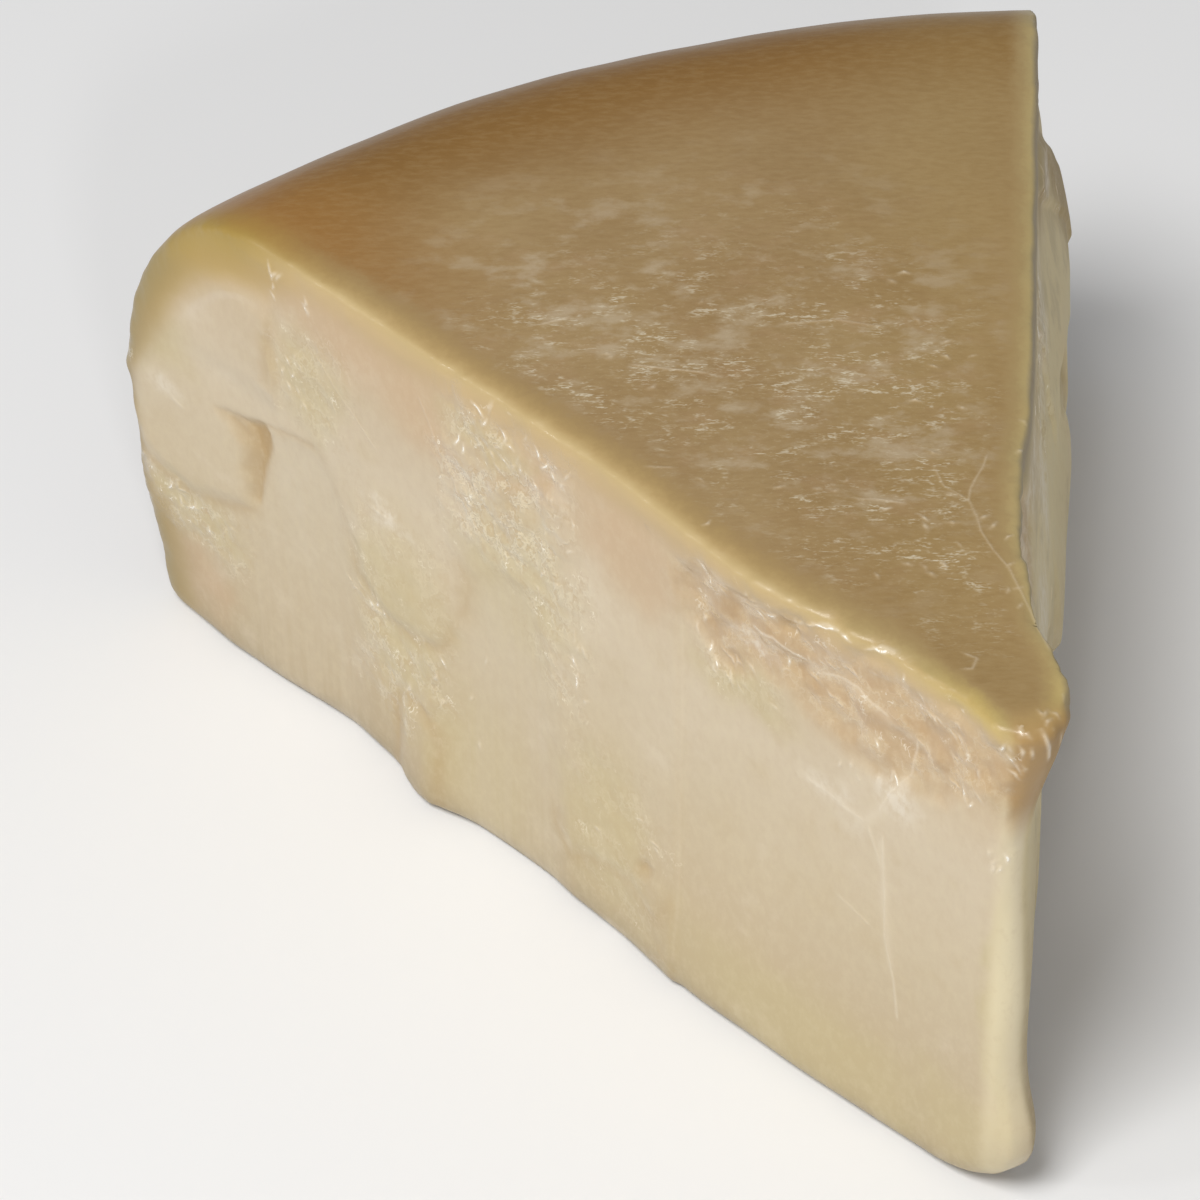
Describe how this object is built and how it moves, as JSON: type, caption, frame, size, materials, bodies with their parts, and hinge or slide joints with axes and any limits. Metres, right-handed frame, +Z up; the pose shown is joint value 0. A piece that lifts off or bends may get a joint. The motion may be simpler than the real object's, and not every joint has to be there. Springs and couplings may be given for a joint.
{
  "type": "wedge of hard cheese with rind",
  "caption": "Large hand-split wedge of aged hard grating cheese: brown rind on top and round the heel, pale crumbly cut faces.",
  "frame": {"origin": "middle of the wedge's box in plan, at the base that it stands on", "axes": "+Z up to the rind on top, +Y from the thin end towards the heel (the wheel's side), +X to the right cut face"},
  "size_m": [0.1576, 0.1834, 0.0978],
  "materials": {
    "cheese": "pale straw paste, slightly greasy and glossy where smooth, grainy where it broke; olive-brown waxy rind on top and on the heel"
  },
  "bodies": {
    "root": {"cheese_wedge": "cheese"}
  },
  "joints": []
}
